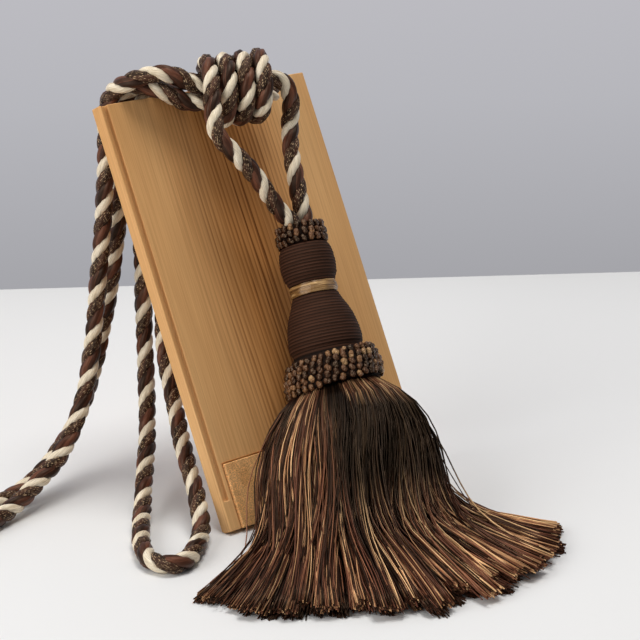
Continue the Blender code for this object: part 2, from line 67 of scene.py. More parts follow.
def make_camera():
    data = bpy.data.cameras.new("camera")
    data.sensor_width = SENSOR_WIDTH
    data.lens = LENS
    data.clip_start = 0.01
    camera = bpy.data.objects.new("camera", data)
    camera.location = CAMERA_AT + SHIFT
    camera.rotation_euler = (math.pi / 2 - VIEW_DOWN, 0.0, VIEW_TURN)
    bpy.context.collection.objects.link(camera)
    bpy.context.scene.camera = camera


# ---- materials

# Tints of the gloss.
WARM = (1.0, 0.78, 0.58)
COPPER = (1.0, 0.72, 0.48)
AMBER = (1.0, 0.66, 0.42)
# Sockets of a colour Mix node: its factor, its two colours, and its result.
MIX_INPUTS = (0, 6, 7)
MIX_RESULT = 2


class Shader:
    """A Principled material with short calls for its procedural nodes."""

    def __init__(self, name, roughness, specular, tint=(1.0, 1.0, 1.0)):
        self.material = bpy.data.materials.new(name)
        self.material.use_nodes = True
        self.tree = self.material.node_tree
        self.main = self.tree.nodes["Principled BSDF"]
        self.feed(roughness, self.main.inputs["Roughness"])
        self.feed(specular, self.main.inputs["Specular IOR Level"])
        self.feed(tint, self.main.inputs["Specular Tint"])
        self.coords = self.add("ShaderNodeTexCoord", {})

    def feed(self, value, socket):
        """Links a node's output to the socket, or sets it to a number, a vector or a colour."""
        if isinstance(value, bpy.types.NodeSocket):
            self.tree.links.new(value, socket)
        elif socket.type == "RGBA":
            socket.default_value = (*value, 1.0)
        else:
            socket.default_value = value

    def add(self, kind, sockets, **settings):
        """A node with these settings, and with each of these sockets fed."""
        node = self.tree.nodes.new(kind)
        for key, value in settings.items():
            setattr(node, key, value)
        for key, value in sockets.items():
            self.feed(value, node.inputs[key])
        return node

    def mapping(self, vector, scale, rotation):
        sockets = {"Vector": vector, "Scale": scale, "Rotation": rotation}
        return self.add("ShaderNodeMapping", sockets).outputs["Vector"]

    def place(self, coordinate, scale=(1, 1, 1), rotation=(0, 0, 0)):
        return self.mapping(self.coords.outputs[coordinate], scale, rotation)

    def on_board(self, along):
        """Places turned with the board's slope first and then scaled along it."""
        sloped = self.place("Object", rotation=(BOARD_LEAN, 0.0, 0.0))
        return self.mapping(sloped, (1, 1, along), (0, 0, 0))

    def noise(self, vector, scale, detail=3.0, roughness=0.55):
        sockets = {"Vector": vector, "Scale": scale, "Detail": detail, "Roughness": roughness}
        return self.add("ShaderNodeTexNoise", sockets).outputs["Fac"]

    def uv_noise(self, u, v, detail=3.0):
        return self.noise(self.place("UV", scale=(u, v, 1)), 1.0, detail)

    def wave(self, vector, scale, distortion, direction="X"):
        sockets = {"Vector": vector, "Scale": scale, "Distortion": distortion}
        return self.add("ShaderNodeTexWave", sockets, bands_direction=direction).outputs["Fac"]

    def axis(self, vector, which):
        return self.add("ShaderNodeSeparateXYZ", {"Vector": vector}).outputs[which]

    def ramp(self, factor, stops, mode="LINEAR"):
        """A colour ramp, from stops of a place and a colour. A grey is given as one number."""
        node = self.add("ShaderNodeValToRGB", {"Fac": factor})
        node.color_ramp.interpolation = mode
        line = node.color_ramp.elements
        while len(line) < len(stops):
            line.new(0.5)
        for element, (place, colour) in zip(line, stops):
            if isinstance(colour, (int, float)):
                colour = (colour, colour, colour)
            element.position = place
            element.color = (*colour, 1.0)
        return node.outputs["Color"]

    def mix(self, factor, first, second, mode="MIX"):
        sockets = dict(zip(MIX_INPUTS, (factor, first, second)))
        node = self.add("ShaderNodeMix", sockets, data_type="RGBA", blend_type=mode)
        return node.outputs[MIX_RESULT]

    def shade(self, colour, amount, factor, stops):
        """The colour multiplied by a ramp of the factor, by this amount."""
        return self.mix(amount, colour, self.ramp(factor, stops), "MULTIPLY")

    def math(self, kind, first, second=0.0):
        return self.add("ShaderNodeMath", {0: first, 1: second}, operation=kind).outputs[0]

    def colour(self, source):
        self.feed(source, self.main.inputs["Base Color"])

    def rough(self, source, low, high):
        sockets = {"Value": source, "To Min": low, "To Max": high}
        node = self.add("ShaderNodeMapRange", sockets)
        self.feed(node.outputs["Result"], self.main.inputs["Roughness"])

    def bump(self, height, strength, distance):
        sockets = {"Height": height, "Strength": strength, "Distance": distance}
        node = self.add("ShaderNodeBump", sockets)
        self.feed(node.outputs["Normal"], self.main.inputs["Normal"])


# The board's growth rings: how many to a metre, how far they sway and how unevenly they lie, how far the
# grain is drawn out, how far left of the origin the dark middle is measured from, and how dark it is. That
# dark middle is partly the pine's own darker grain and partly painted shadow of the knot and head.
RINGS_PER_METRE = 360.0
RING_SWAY = 0.020
RING_UNEVEN = 1.3
ALONG_GRAIN = 0.012
MIDDLE_FROM = 0.05
MIDDLE_GRAIN_AND_SHADOW = 0.62


def pine(name):
    """Planed pine: uneven growth lines up the board, close and dark in its middle, and fine pores. The dark
    middle is partly darker grain and partly painted shadow of the knot and head.
    """
    s = Shader(name, roughness=0.5, specular=0.11)
    across = s.axis(s.on_board(1), 0)
    sway = s.noise(s.on_board(0.30), 9.0, detail=1.0)
    bent = s.math("ADD", across, s.math("MULTIPLY", sway, RING_SWAY))
    grain = s.on_board(ALONG_GRAIN)
    uneven = s.noise(grain, 330.0, roughness=0.7)
    even_rings = s.math("MULTIPLY", bent, RINGS_PER_METRE)
    rings = s.math("ADD", even_rings, s.math("MULTIPLY", uneven, RING_UNEVEN))
    fine = s.noise(grain, 1100.0, detail=4.0)
    base = s.ramp(s.noise(s.on_board(0.12), 26.0, detail=2.0), [
        (0.30, (0.630, 0.335, 0.130)),
        (0.55, (0.700, 0.402, 0.172)),
        (0.80, (0.770, 0.465, 0.212)),
    ])
    # The dark middle: partly darker grain, partly painted shadow where the knot and head stand before the
    # board.
    middle = s.ramp(s.math("ADD", across, MIDDLE_FROM), [
        (0.040, 0.02),
        (0.050, 0.34),
        (0.076, 0.86),
        (0.096, 1.00),
        (0.118, 0.72),
        (0.130, 0.40),
        (0.142, 0.04),
    ])
    late = s.ramp(s.math("FRACT", rings), [(0.0, 0.0), (0.36, 0.06), (0.62, 0.70), (0.86, 1.0), (1.0, 0.0)])
    strength = s.ramp(uneven, [(0.38, 0.30), (0.60, 1.0)])
    amount = s.math("MULTIPLY", s.math("MULTIPLY", late, strength), middle)
    # Reddish dark over the middle: partly the pine's darker grain, partly painted shadow of the knot and
    # head.
    colour = s.mix(s.math("MULTIPLY", middle, MIDDLE_GRAIN_AND_SHADOW), base, (0.430, 0.135, 0.008))
    colour = s.mix(amount, colour, (0.110, 0.022, 0.002))
    s.colour(s.shade(colour, 0.50, fine, [(0.3, (0.70, 0.62, 0.52)), (0.7, 1.12)]))
    s.rough(fine, 0.42, 0.58)
    s.bump(fine, 0.10, 0.0002)
    return s.material


def end_grain():
    """Sawn end grain: short pale and dark flecks over a warm ground."""
    s = Shader("pine_end_grain", roughness=0.7, specular=0.12)
    spots = s.noise(s.place("Object"), 1500.0)
    patches = s.noise(s.place("Object", scale=(1, 1, 0.5)), 120.0)
    ground = s.ramp(patches, [(0.3, (0.580, 0.300, 0.115)), (0.7, (0.740, 0.420, 0.185))])
    flecks = [(0.30, (0.55, 0.50, 0.42)), (0.5, 1.0), (0.66, (1.55, 1.45, 1.25))]
    s.colour(s.shade(ground, 0.9, spots, flecks))
    s.bump(spots, 0.35, 0.0003)
    return s.material


def strand_cream():
    """Loosely spun satin yarn: fine lengthwise fibres."""
    s = Shader("rope_cream", roughness=0.38, specular=0.5)
    fibres = s.uv_noise(46, 2.2)
    soft = s.uv_noise(5, 0.7, detail=2.0)
    ground = s.ramp(soft, [(0.3, (0.73, 0.61, 0.43)), (0.7, (0.90, 0.81, 0.65))])
    s.colour(s.shade(ground, 0.75, fibres, [(0.30, (0.42, 0.35, 0.28)), (0.58, (1.06, 1.05, 1.03))]))
    s.bump(fibres, 0.5, 0.00025)
    return s.material


def strand_chocolate():
    """Four thin satin cords laid together, each with its own brown."""
    s = Shader("rope_chocolate", roughness=0.42, specular=0.28, tint=WARM)
    tone = s.ramp(s.axis(s.place("UV"), 0), [
        (0.00, (0.036, 0.0140, 0.0088)),
        (0.25, (0.100, 0.0390, 0.0235)),
        (0.50, (0.050, 0.0190, 0.0118)),
        (0.75, (0.018, 0.0078, 0.0053)),
    ], "CONSTANT")
    fibres = s.uv_noise(60, 3.5)
    s.colour(s.shade(tone, 0.8, fibres, [(0.3, (0.55, 0.5, 0.5)), (0.7, (1.9, 1.75, 1.65))]))
    s.bump(fibres, 0.45, 0.0002)
    return s.material


def strand_flecked():
    """Thin cords bound with beige and near-black thread, which shows as slanting flecks."""
    s = Shader("rope_flecked", roughness=0.48, specular=0.24, tint=WARM)
    ground = s.ramp(s.axis(s.place("UV"), 0), [
        (0.00, (0.026, 0.0115, 0.0075)),
        (0.25, (0.060, 0.0245, 0.0155)),
        (0.50, (0.020, 0.0090, 0.0060)),
        (0.75, (0.044, 0.0190, 0.0125)),
    ], "CONSTANT")
    slant = s.place("UV", scale=(7, 5.5, 1), rotation=(0, 0, 0.5))
    flecks = s.ramp(s.noise(slant, 1.6, detail=2.0, roughness=0.7), [(0.52, 0), (0.60, 1)])
    binding = s.wave(s.place("UV", scale=(6, 4.2, 1), rotation=(0, 0, 0.6)), 1.0, distortion=1.5)
    mask = s.math("MULTIPLY", flecks, s.ramp(binding, [(0.35, 0), (0.7, 1)]))
    s.colour(s.mix(mask, ground, (0.44, 0.30, 0.175)))
    s.bump(binding, 0.5, 0.0002)
    return s.material


def wound_cord():
    """Matt brown cord, side by side in turns, with a fine twist, painted shade in the gaps between the
    turns and a painted highlight on their crowns.
    """
    s = Shader("head_wound_cord", roughness=0.70, specular=0.16, tint=WARM)
    turns = s.axis(s.place("UV"), 1)
    crown_light_gap_shade = s.math("ABSOLUTE", s.math("SUBTRACT", s.math("FRACT", turns), 0.5))
    ground = s.ramp(s.uv_noise(4, 0.9), [(0.3, (0.028, 0.0110, 0.0064)), (0.7, (0.052, 0.0212, 0.0126))])
    twist = s.wave(s.place("UV", scale=(75, 0.9, 1)), 1.0, distortion=2.0)
    # Painted highlight on each turn's crown and painted shade in the gaps between the turns.
    colour = s.shade(ground, 1.0, crown_light_gap_shade, [(0.0, (1.35, 1.3, 1.3)), (0.26, 0.95), (0.46, (0.22, 0.20, 0.20))])
    s.colour(s.shade(colour, 0.35, twist, [(0.1, 0.65), (0.9, (1.3, 1.28, 1.25))]))
    s.bump(twist, 0.35, 0.00012)
    return s.material


def gold_satin():
    """Gold satin thread wound flat."""
    s = Shader("neck_band_gold", roughness=0.24, specular=0.85, tint=WARM)
    threads = s.uv_noise(4, 9.0)
    ground = s.ramp(s.uv_noise(5, 0.8, detail=2.0), [
        (0.32, (0.07, 0.030, 0.009)),
        (0.52, (0.24, 0.130, 0.046)),
        (0.70, (0.62, 0.400, 0.175)),
    ])
    s.colour(s.shade(ground, 0.7, threads, [(0.3, (0.55, 0.5, 0.45)), (0.7, (1.2, 1.17, 1.12))]))
    s.bump(threads, 0.5, 0.0002)
    return s.material


def ruff_knots():
    """Knots of brown and gold cord: each has its own tone, with fine threads over it."""
    s = Shader("ruff_knots", roughness=0.21, specular=0.85, tint=COPPER)
    tone = s.ramp(s.axis(s.place("UV"), 0), [
        (0.00, (0.012, 0.0044, 0.0024)),
        (0.40, (0.046, 0.0170, 0.0086)),
        (0.66, (0.115, 0.0480, 0.0225)),
        (0.86, (0.240, 0.1220, 0.0550)),
        (1.00, (0.440, 0.2700, 0.1280)),
    ])
    threads = s.wave(s.place("Object"), 1300.0, distortion=6.0, direction="DIAGONAL")
    s.colour(s.shade(tone, 0.9, threads, [(0.15, (0.40, 0.37, 0.35)), (0.8, (1.30, 1.27, 1.24))]))
    s.bump(threads, 0.4, 0.0002)
    return s.material


def dark_ground():
    """Dark yarn that shows only between the knots and the threads."""
    s = Shader("dark_ground", roughness=0.85, specular=0.1)
    lines = s.noise(s.place("Object"), 900.0)
    s.colour(s.ramp(lines, [(0.3, (0.006, 0.0035, 0.0025)), (0.7, (0.020, 0.0100, 0.0065))]))
    s.bump(lines, 0.4, 0.0003)
    return s.material


def skirt_thread():
    """Lustrous twisted threads: near-black, red-brown and gold ones, each a little uneven. Below their
    roots they get painted shade, except on the side that faces the light, and further down, where they lie
    flatter, a painted light."""
    s = Shader("skirt_thread", roughness=0.36, specular=0.28, tint=AMBER)
    tone = s.ramp(s.axis(s.place("UV"), 0), [
        (0.00, (0.0120, 0.0050, 0.0032)),
        (0.22, (0.0430, 0.0165, 0.0100)),
        (0.42, (0.1100, 0.0420, 0.0255)),
        (0.60, (0.2150, 0.0930, 0.0510)),
        (0.76, (0.4200, 0.2350, 0.1180)),
        (0.90, (0.6900, 0.4500, 0.2350)),
    ], "CONSTANT")
    along = s.uv_noise(900, 16, detail=2.0)
    tone = s.shade(tone, 0.6, along, [(0.3, (0.65, 0.62, 0.6)), (0.7, (1.35, 1.3, 1.25))])
    # Painted shade just below the roots, and painted light further down, where the threads lie flatter.
    painted_light_along = s.axis(s.place("UV", scale=(1, 0.6, 1)), 1)
    s.colour(s.shade(tone, 1.0, painted_light_along, [
        (0.03, (0.80, 0.78, 0.76)),
        (0.085, (0.038, 0.035, 0.033)),
        (0.25, (0.048, 0.044, 0.041)),
        (0.40, (0.95, 0.93, 0.92)),
        (0.54, (1.42, 1.37, 1.34)),
        (0.78, (1.42, 1.37, 1.34)),
        (0.93, (0.62, 0.58, 0.56)),
    ]))
    s.rough(along, 0.28, 0.46)
    return s.material


def wall_finish():
    """Matt wall whose grey is a painted glow of its own, a little darker towards its foot as painted shade.
    """
    s = Shader("wall_painted_glow", roughness=1.0, specular=0.0)
    # Painted glow in place of lit grey, darker towards the wall's foot as painted shade.
    rise = s.axis(s.place("Object", scale=(1, 1, 4.0)), 2)
    glow = s.ramp(rise, [
        (0.0, (0.375, 0.375, 0.400)),
        (0.55, (0.470, 0.470, 0.502)),
        (1.0, (0.515, 0.510, 0.545)),
    ])
    s.feed((0.0, 0.0, 0.0), s.main.inputs["Base Color"])
    s.feed(1.0, s.main.inputs["Emission Strength"])
    s.feed(glow, s.main.inputs["Emission Color"])
    return s.material


def table_finish():
    """Matt white, with the faintest of clouds."""
    s = Shader("table_white", roughness=0.60, specular=0.35)
    soft = s.noise(s.place("Object"), 3.0, detail=2.0)
    white = (0.83, 0.83, 0.825)
    s.colour(s.ramp(soft, [(0.3, tuple(c * 0.985 for c in white)), (0.7, white)]))
    return s.material


# ---- mesh helpers

def grid_faces(rows, columns, base=0):
    """Quads of a tube: rows of points, each of them closed."""
    i = np.arange(rows - 1)[:, None] * columns
    j = np.arange(columns)[None, :]
    k = (j + 1) % columns
    quads = np.stack([i + j, i + k, i + columns + k, i + columns + j], axis=-1)
    return quads.reshape(-1, 4) + base


def grid_uv(u_edges, v_rows):
    """Corners of each quad of a grid: u between edges, v between rows."""
    rows = len(v_rows) - 1
    columns = len(u_edges) - 1
    uv = np.empty((rows, columns, 4, 2))
    uv[:, :, 0, 0] = uv[:, :, 3, 0] = u_edges[None, :-1]
    uv[:, :, 1, 0] = uv[:, :, 2, 0] = u_edges[None, 1:]
    uv[:, :, 0, 1] = uv[:, :, 1, 1] = v_rows[:-1, None]
    uv[:, :, 2, 1] = uv[:, :, 3, 1] = v_rows[1:, None]
    return uv.reshape(-1, 2)


def mesh_object(name, points, faces, materials, uv, slots=None):
    """Object from lists of arrays: uv has one pair for each corner of the faces, in their order."""
    points = np.concatenate(points).astype(np.float32)
    uv = np.concatenate(uv).astype(np.float32)
    sizes = np.array([len(face) for face in faces], dtype=np.int32)
    corners = np.concatenate([np.asarray(face, dtype=np.int32) for face in faces])
    mesh = bpy.data.meshes.new(name)
    mesh.vertices.add(len(points))
    mesh.vertices.foreach_set("co", points.ravel())
    mesh.loops.add(len(corners))
    mesh.loops.foreach_set("vertex_index", corners)
    mesh.polygons.add(len(sizes))
    starts = np.concatenate([[0], np.cumsum(sizes)[:-1]]).astype(np.int32)
    mesh.polygons.foreach_set("loop_start", starts)
    if slots is not None:
        mesh.polygons.foreach_set("material_index", np.asarray(slots, dtype=np.int32))
    mesh.polygons.foreach_set("use_smooth", np.full(len(sizes), True))
    layer = mesh.uv_layers.new(name="UVMap")
    layer.data.foreach_set("uv", uv.ravel())
    for item in materials:
        mesh.materials.append(item)
    mesh.update(calc_edges=True)
    mesh.validate()
    made = bpy.data.objects.new(name, mesh)
    bpy.context.collection.objects.link(made)
    return made


def stands_for(piece, node):
    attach(piece, "root")
    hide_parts(node)


def unit(rows):
    return rows / np.linalg.norm(rows, axis=-1, keepdims=True)


def head_axes():
    across = Vector((1, 0, 0))
    side = (across - HEAD_UP * across.dot(HEAD_UP)).normalized()
    return side, HEAD_UP.cross(side)


def head_points(angle, height, radius):
    """Points round the head's axis: angle 0 is to the right, 90 degrees towards the board."""
    side, inward = (np.array(v) for v in head_axes())
    foot = np.array(HEAD_FOOT + SHIFT)
    up = np.array(HEAD_UP)
    angle, height, radius = np.broadcast_arrays(angle, height, radius)
    return (
        foot
        + side * (radius * np.cos(angle))[..., None]
        + inward * (radius * np.sin(angle))[..., None]
        + up * height[..., None]
    )


# ---- rope

ROPE_RADIUS = 0.0049
# Each strand's half depth and half width, pressed against its neighbours, and its thin cords' bulge:
# cream, chocolate, flecked.
STRAND_SHAPES = [(0.00228, 0.00246, 0.035), (0.00234, 0.00296, 0.10), (0.00234, 0.00296, 0.10)]
STRAND_OFFSET = 0.00264
ROPE_REST = ROPE_RADIUS + 0.0004
LAY_LENGTH = 0.0245
STEPS_PER_LAY = 7
LEG_SPREAD = 0.0052
LEG_CLEAR = 0.0007
LEG_STRAIGHT = 0.009

KNOT_MIDDLE = Vector((0.0780, 0.0742, 0.2227))
KNOT_TURN = math.radians(-26.4)
KNOT_RISE = math.radians(4.0)
CORE_OFFSET = 0.0048
CORE_GIRTH = 0.90
BIGHT_GIRTH = 0.84
WRAP_RADIUS = 0.0163
WRAP_PITCH = 0.0099
WRAP_GIRTH = 0.96
WRAP_FIRST_PASS = 0.0170
WRAP_START = 405
WRAP_END = 1455
WRAP_STEP = 30

# Free runs of the rope: x, y, z.
RIGHT_LEG = [
    (0.0934, 0.0459, 0.1613),
    (0.0941, 0.0507, 0.1747),
    (0.0959, 0.0559, 0.1878),
    (0.1003, 0.0615, 0.2006),
]
SIDE_LOOP_OVER_EDGE = [
    (0.0460, 0.0842, 0.2284),
    (0.0396, 0.0865, 0.2322),
    (0.0316, 0.0904, 0.2342),
    (0.0238, 0.0966, 0.2325),
    (0.0186, 0.1045, 0.2282),
    (0.0172, 0.1132, 0.2232),
    (0.0166, 0.1190, 0.2125),
]
SIDE_LOOP = [
    (0.0155, 0.1195, 0.1900),
    (0.0131, 0.1197, 0.1571),
    (0.0082, 0.1206, 0.1161),
    (0.0028, 0.1200, 0.0822),
    (-0.0071, 0.1168, 0.0523),
    (-0.0300, 0.1085, 0.0265),
    (-0.0500, 0.1040, 0.0155),
    (-0.0710, 0.0990, 0.0075),
    (-0.0930, 0.0930, ROPE_REST),
    (-0.1170, 0.0880, ROPE_REST),
    (-0.1360, 0.0940, ROPE_REST),
    (-0.1400, 0.1090, ROPE_REST),
    (-0.1260, 0.1180, ROPE_REST),
    (-0.1050, 0.1160, ROPE_REST),
    (-0.0780, 0.1120, ROPE_REST),
    (-0.0420, 0.1160, 0.0130),
    (-0.0079, 0.1245, 0.0349),
    (0.0096, 0.1290, 0.0624),
    (0.0181, 0.1300, 0.0859),
    (0.0246, 0.1280, 0.1190),
    (0.0270, 0.1245, 0.1500),
    (0.0279, 0.1215, 0.1850),
]
SIDE_LOOP_BACK_OVER_EDGE = [
    (0.0280, 0.1190, 0.2125),
    (0.0282, 0.1132, 0.2222),
    (0.0288, 0.1070, 0.2256),
    (0.0302, 0.1010, 0.2260),
    (0.0338, 0.0950, 0.2245),
    (0.0395, 0.0896, 0.2215),
    (0.0460, 0.0852, 0.2175),
]
FRONT_LOOP_OVER_EDGE = [
    (0.0512, 0.0937, 0.2158),
    (0.0456, 0.0976, 0.2190),
    (0.0412, 0.1020, 0.2234),
    (0.0398, 0.1080, 0.2248),
    (0.0392, 0.1132, 0.2222),
    (0.0388, 0.1190, 0.2125),
]
FRONT_LOOP = [
    (0.0382, 0.1195, 0.1700),
    (0.0368, 0.1165, 0.1200),
    (0.0333, 0.1116, 0.0779),
    (0.0243, 0.0995, 0.0493),
    (0.0100, 0.0825, 0.0290),
    (-0.0071, 0.0645, 0.0155),
    (-0.0210, 0.0490, 0.0075),
    (-0.0379, 0.0295, ROPE_REST),
    (-0.0529, 0.0093, ROPE_REST),
    (-0.0600, -0.0080, ROPE_REST),
    (-0.0562, -0.0175, ROPE_REST),
    (-0.0462, -0.0178, ROPE_REST),
    (-0.0326, -0.0090, ROPE_REST),
    (-0.0174, 0.0040, 0.0072),
    (-0.0050, 0.0225, 0.0190),
    (0.0060, 0.0450, 0.0342),
    (0.0230, 0.0746, 0.0557),
    (0.0345, 0.0960, 0.0807),
    (0.0472, 0.1085, 0.1200),
    (0.0500, 0.1180, 0.1700),
]
FRONT_LOOP_BACK_OVER_EDGE = [
    (0.0505, 0.1192, 0.2125),
    (0.0505, 0.1130, 0.2224),
    (0.0509, 0.1062, 0.2257),
    (0.0522, 0.0988, 0.2272),
    (0.0545, 0.0935, 0.2270),
]
LEFT_LEG = [
    (0.0425, 0.0560, 0.2040),
    (0.0511, 0.0511, 0.1925),
    (0.0624, 0.0480, 0.1795),
    (0.0710, 0.0457, 0.1665),
    (0.0772, 0.0433, 0.1573),
    (0.0825, 0.0412, 0.1510),
]
# Turns of the rope in the knot's own frame: along the axis, outwards from the board, up. The bight
# joins the two loops inside the knot, and the crossing takes the last run to the core's low back corner.
RIGHT_LEG_TURN = [(0.0250, 0.0030, -0.0140), (0.0240, 0.0044, -0.0045), (0.0205, 0.0050, 0.0020)]
CORE_BIGHT = [(-0.0107, 0.0037, -0.0050), (-0.0091, 0.0000, -0.0051), (-0.0107, -0.0037, -0.0050)]
CORE_CROSSING = (0.0000, -0.0056, 0.0000)
FIRST_TURN = [
    (0.0138, -0.0056, -0.0070),
    (0.0176, -0.0088, -0.0076),
    (0.0184, -0.0144, -0.0048),
    (0.0152, -0.0166, 0.0024),
    (0.0112, -0.0120, 0.0112),
    (0.0098, -0.0032, 0.0161),
    (0.0090, 0.0056, 0.0153),
]
LEFT_LEG_TURN = [(-0.0215, 0.0125, 0.0108), (-0.0232, 0.0192, 0.0032), (-0.0248, 0.0252, -0.0058)]
CORE_RIGHT = 0.0130
CORE_LEFT = 0.0245
BIGHT_FROM = 0.0140
CROSSING_FROM = 0.0100
FIRST_TURN_FROM = 0.0090


def knot_point(along, out, up):
    axis = Vector((
        math.cos(KNOT_TURN) * math.cos(KNOT_RISE),
        math.sin(KNOT_TURN) * math.cos(KNOT_RISE),
        math.sin(KNOT_RISE),
    ))
    outward = Vector((math.sin(KNOT_TURN), -math.cos(KNOT_TURN), 0))
    return KNOT_MIDDLE + axis * along + outward * out + outward.cross(axis) * up


def core_run(out_sign, up_sign, *stops):
    return [knot_point(stop, out_sign * CORE_OFFSET, up_sign * CORE_OFFSET) for stop in stops]


def wraps():
    turns = []
    for degrees in range(WRAP_START, WRAP_END + 1, WRAP_STEP):
        angle = math.radians(degrees)
        along = WRAP_FIRST_PASS - WRAP_PITCH * (degrees - 90) / 360
        turns.append(knot_point(along, WRAP_RADIUS * math.sin(angle), WRAP_RADIUS * math.cos(angle)))
    return turns


def leg_foot(sign, height):
    return HEAD_FOOT + HEAD_UP * height + head_axes()[0] * sign * LEG_SPREAD


def rope_route():
    leg_start = HEAD_TOP + LEG_CLEAR
    runs = [
        (1.0, [leg_foot(1, leg_start), leg_foot(1, leg_start + LEG_STRAIGHT)]),
        (1.0, RIGHT_LEG),
        (1.0, [knot_point(*row) for row in RIGHT_LEG_TURN]),
        (CORE_GIRTH, core_run(1, 1, CORE_RIGHT, 0.0, -CORE_LEFT)),
        (1.0, SIDE_LOOP_OVER_EDGE),
        (1.0, SIDE_LOOP),
        (1.0, SIDE_LOOP_BACK_OVER_EDGE),
        (CORE_GIRTH, core_run(1, -1, -CORE_LEFT, -BIGHT_FROM)),
        (BIGHT_GIRTH, [knot_point(*row) for row in CORE_BIGHT]),
        (CORE_GIRTH, core_run(-1, -1, -BIGHT_FROM, -CORE_LEFT)),
        (1.0, FRONT_LOOP_OVER_EDGE),
        (1.0, FRONT_LOOP),
        (1.0, FRONT_LOOP_BACK_OVER_EDGE),
        (CORE_GIRTH, core_run(-1, 1, -CORE_LEFT, -CROSSING_FROM)),
        (CORE_GIRTH, [knot_point(*CORE_CROSSING)]),
        (CORE_GIRTH, core_run(-1, -1, FIRST_TURN_FROM)),
        (WRAP_GIRTH, [knot_point(*row) for row in FIRST_TURN]),
        (WRAP_GIRTH, wraps()),
        (1.0, [knot_point(*row) for row in LEFT_LEG_TURN]),
        (1.0, LEFT_LEG),
        (1.0, [leg_foot(-1, leg_start)]),
    ]
    return [Vector((*(Vector(point) + SHIFT), girth)) for girth, points in runs for point in points]


CURVE_STEPS = 12


def catmull_rom(points):
    """Smooth curve through the points (centripetal), in short steps."""
    ends = [points[0] * 2 - points[1], *points, points[-1] * 2 - points[-2]]
    dense = []
    for a, b, c, d in zip(ends, ends[1:], ends[2:], ends[3:]):
        knots = [0.0]
        for p, q in ((a, b), (b, c), (c, d)):
            knots.append(knots[-1] + max((q.xyz - p.xyz).length, 1e-6) ** 0.5)
        for i in range(CURVE_STEPS):
            t = knots[1] + (knots[2] - knots[1]) * i / CURVE_STEPS
            ab = a.lerp(b, t / knots[1])
            bc = b.lerp(c, (t - knots[1]) / (knots[2] - knots[1]))
            cd = c.lerp(d, (t - knots[2]) / (knots[3] - knots[2]))
            abc = ab.lerp(bc, t / knots[2])
            bcd = bc.lerp(cd, (t - knots[1]) / (knots[3] - knots[1]))
            dense.append(abc.lerp(bcd, (t - knots[1]) / (knots[2] - knots[1])))
    dense.append(points[-1].copy())
    return np.array([tuple(p) for p in dense])


def resample(line, step):
    """The line at even steps, the length up to each of them, and the whole length."""
    lengths = np.concatenate([[0], np.cumsum(np.linalg.norm(np.diff(line[:, :3], axis=0), axis=1))])
    count = round(lengths[-1] / step)
    goals = np.linspace(0, lengths[-1], count + 1)
    even = np.stack([np.interp(goals, lengths, line[:, i]) for i in range(line.shape[1])], axis=1)
    return even, goals, lengths[-1]


def transport(path, first):
    """Tangents and a side vector that turns with the path and never spins about it."""
    tangents = unit(np.gradient(path, axis=0))
    tangents[0] = np.array(HEAD_UP)
    tangents[-1] = -np.array(HEAD_UP)
    sides = np.empty_like(path)
    side = np.array(first)
    for i, tangent in enumerate(tangents):
        side = side - tangent * side.dot(tangent)
        side = side / np.linalg.norm(side)
        sides[i] = side
    return tangents, sides, np.cross(tangents, sides)


STRAND_SIDES = 16
STRAND_CORDS = 4
CORD_LAY = 0.0150
ROPE_STEP = 0.0013
# The strand's UV: where it starts, in corners, so that a thin cord's colour ends between two cords, the
# turn that it wraps at, its units to a metre of rope, and its place on the caps.
UV_START = 2.0
UV_WRAP = 1.0001
UV_PER_METRE = 100
UV_CAP = [0.1, 0.1]


def make_rope(finishes):
    """Three strands laid up together, each of four thin cords twisted the other way."""
    line = catmull_rom(rope_route())
    even, arc, total = resample(line, ROPE_STEP)
    steps = round(total / (LAY_LENGTH / STEPS_PER_LAY))
    lay = STEPS_PER_LAY * total / steps
    path, girth = even[:, :3], even[:, 3]
    path[:, 2] = np.maximum(path[:, 2], ROPE_REST)
    tangents, sides, others = transport(path, HEAD_UP.orthogonal())
    rows = len(path)
    points, faces, uv, slots = [], [], [], []
    for strand in range(3):
        angle = 2 * np.pi * arc / lay + strand * 2 * np.pi / 3
        out = sides * np.cos(angle)[:, None] + others * np.sin(angle)[:, None]
        middle = path + out * (STRAND_OFFSET * girth)[:, None]
        run = unit(np.gradient(middle, axis=0))
        run[0], run[-1] = tangents[0], tangents[-1]
        out = unit(out - run * np.sum(out * run, axis=1)[:, None])
        over = np.cross(run, out)
        turn = -2 * np.pi * arc[:, None] / CORD_LAY
        corner = 2 * np.pi * np.arange(STRAND_SIDES)[None, :] / STRAND_SIDES
        around = corner + turn
        deep, wide, bulge = STRAND_SHAPES[strand]
        swell = 1.0 + bulge * np.cos(STRAND_CORDS * corner)
        pressed = 1.0 / np.sqrt((np.cos(around) / deep) ** 2 + (np.sin(around) / wide) ** 2)
        radius = pressed * girth[:, None] * swell
        ring = (
            middle[:, None, :]
            + out[:, None, :] * (radius * np.cos(around))[..., None]
            + over[:, None, :] * (radius * np.sin(around))[..., None]
        )
        base = strand * rows * STRAND_SIDES
        points.append(ring.reshape(-1, 3))
        quads = grid_faces(rows, STRAND_SIDES, base)
        faces += list(quads)
        edges = (np.arange(STRAND_SIDES + 1) + UV_START) / STRAND_SIDES
        uv.append(grid_uv(edges % UV_WRAP, arc * UV_PER_METRE))
        first = list(range(base + STRAND_SIDES - 1, base - 1, -1))
        last = list(range(base + (rows - 1) * STRAND_SIDES, base + rows * STRAND_SIDES))
        faces += [first, last]
        uv.append(np.tile(UV_CAP, (2 * STRAND_SIDES, 1)))
        slots += [strand] * (len(quads) + 2)
    piece = mesh_object("rope_strands", points, faces, finishes, uv, slots)
    stands_for(piece, "rope")


# ---- tassel head

